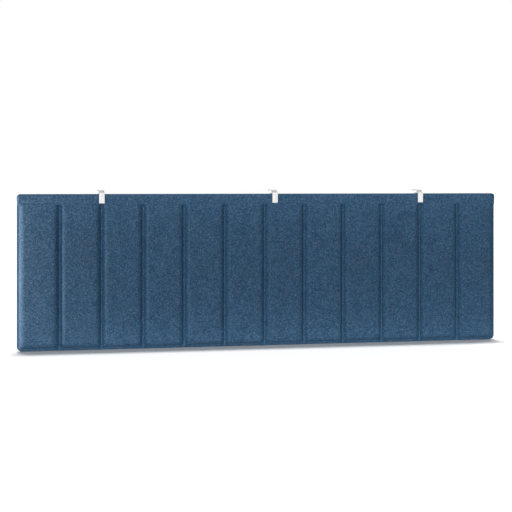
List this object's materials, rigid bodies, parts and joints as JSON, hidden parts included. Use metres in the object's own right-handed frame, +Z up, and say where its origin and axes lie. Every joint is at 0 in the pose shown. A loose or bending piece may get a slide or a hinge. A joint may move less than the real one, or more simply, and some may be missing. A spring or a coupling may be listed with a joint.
{
  "type": "desk privacy panel",
  "caption": "Moulded felt privacy panel with vertical pads, hung from a desk's underside by sliding clamp hangers over its top edge.",
  "frame": {"origin": "in the plane of the desk's underside, above the middle of the panel's length and thickness", "axes": "+X along the panel to the right as its front is seen, +Y from the panel's front face to its back, towards the arms' ends, +Z up"},
  "size_m": [1.45, 0.0643, 0.4615],
  "materials": {
    "felt": "slate-blue moulded polyester felt, mottled",
    "batting": "loose grey-white polyester batt",
    "batten_wood": "plain planed",
    "white_coat": "white powder coat on sheet steel",
    "grey_coat": "light grey powder coat on sheet steel",
    "zinc_steel": "bright zinc",
    "clamp_rubber": "matt black",
    "knob_plastic": "moulded, fine texture"
  },
  "bodies": {
    "panel": {"front_shell": "felt", "back_shell": "felt", "top_batten": "batten_wood", "pad_batt_01": "batting", "pad_batt_02": "batting", "pad_batt_03": "batting", "pad_batt_04": "batting", "pad_batt_05": "batting", "pad_batt_06": "batting", "pad_batt_07": "batting", "pad_batt_08": "batting", "pad_batt_09": "batting", "pad_batt_10": "batting", "pad_batt_11": "batting", "pad_batt_12": "batting"},
    "hanger_left": {"clip_left": "white_coat", "arm_left": "grey_coat", "clamp_nut_left": "zinc_steel"},
    "foot_left": {"clamp_pad_left": "clamp_rubber"},
    "screw_left": {"clamp_screw_left": "zinc_steel", "clamp_knob_left": "knob_plastic"},
    "hanger_centre": {"clip_centre": "white_coat", "arm_centre": "grey_coat", "clamp_nut_centre": "zinc_steel"},
    "foot_centre": {"clamp_pad_centre": "clamp_rubber"},
    "screw_centre": {"clamp_screw_centre": "zinc_steel", "clamp_knob_centre": "knob_plastic"},
    "hanger_right": {"clip_right": "white_coat", "arm_right": "grey_coat", "clamp_nut_right": "zinc_steel"},
    "foot_right": {"clamp_pad_right": "clamp_rubber"},
    "screw_right": {"clamp_screw_right": "zinc_steel", "clamp_knob_right": "knob_plastic"}
  },
  "joints": [
    {"name": "hanger_slide_left", "type": "slide", "parent": "panel", "child": "hanger_left", "axis": [1, 0, 0], "range_m": [-0.2217, 0.2383]},
    {"name": "clamp_travel_left", "type": "slide", "parent": "hanger_left", "child": "foot_left", "axis": [0, 1, 0], "range_m": [0, 0.005]},
    {"name": "screw_turn_left", "type": "hinge", "parent": "foot_left", "child": "screw_left", "pos_m": [-0.48333, 0, -0.026], "axis": [0, 1, 0], "range_deg": [0, 1800]},
    {"name": "hanger_slide_centre", "type": "slide", "parent": "panel", "child": "hanger_centre", "axis": [1, 0, 0], "range_m": [-0.26, 0.2]},
    {"name": "clamp_travel_centre", "type": "slide", "parent": "hanger_centre", "child": "foot_centre", "axis": [0, 1, 0], "range_m": [0, 0.005]},
    {"name": "screw_turn_centre", "type": "hinge", "parent": "foot_centre", "child": "screw_centre", "pos_m": [0.03, 0, -0.026], "axis": [0, 1, 0], "range_deg": [0, 1800]},
    {"name": "hanger_slide_right", "type": "slide", "parent": "panel", "child": "hanger_right", "axis": [1, 0, 0], "range_m": [-0.2383, 0.2217]},
    {"name": "clamp_travel_right", "type": "slide", "parent": "hanger_right", "child": "foot_right", "axis": [0, 1, 0], "range_m": [0, 0.005]},
    {"name": "screw_turn_right", "type": "hinge", "parent": "foot_right", "child": "screw_right", "pos_m": [0.48333, 0, -0.026], "axis": [0, 1, 0], "range_deg": [0, 1800]}
  ],
  "couplings": [
    {"joint": "screw_turn_left", "follows": "clamp_travel_left", "rad_per_m": 6280},
    {"joint": "screw_turn_centre", "follows": "clamp_travel_centre", "rad_per_m": 6280},
    {"joint": "screw_turn_right", "follows": "clamp_travel_right", "rad_per_m": 6280}
  ]
}
